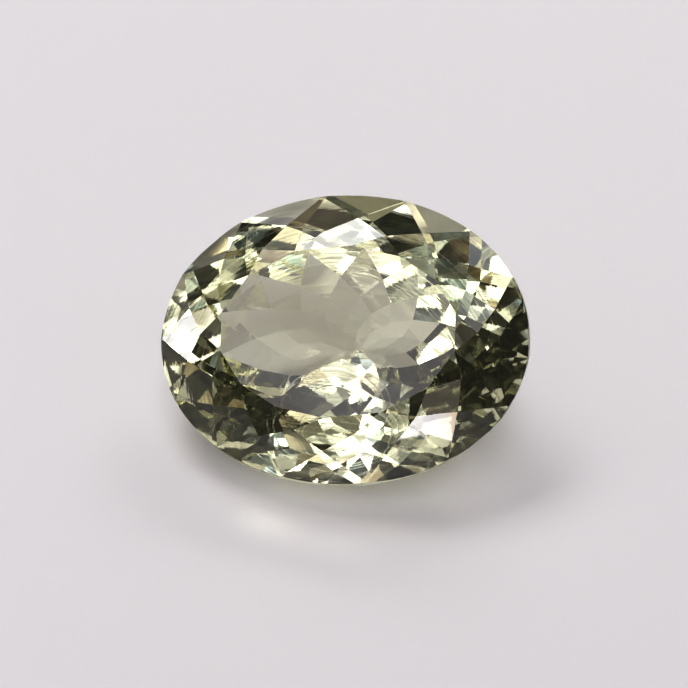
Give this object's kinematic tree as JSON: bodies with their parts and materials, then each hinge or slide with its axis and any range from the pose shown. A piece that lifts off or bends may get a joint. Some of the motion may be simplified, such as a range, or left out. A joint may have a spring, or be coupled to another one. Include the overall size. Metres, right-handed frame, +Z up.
{
  "type": "faceted sillimanite",
  "caption": "Oval faceted gemstone with a flat table, a low crown of stars, kites and lozenges and a lozenge-cut underside, lying tilted on one lower facet.",
  "frame": {"origin": "on the surface that the stone lies on, under the middle of its bounding box", "axes": "+Z up, +X along the stone's long axis, -Y towards the side that the tilted table faces"},
  "size_m": [0.009, 0.006, 0.005],
  "materials": {
    "crystal": "polished"
  },
  "bodies": {
    "root": {"stone": "crystal"}
  },
  "joints": []
}
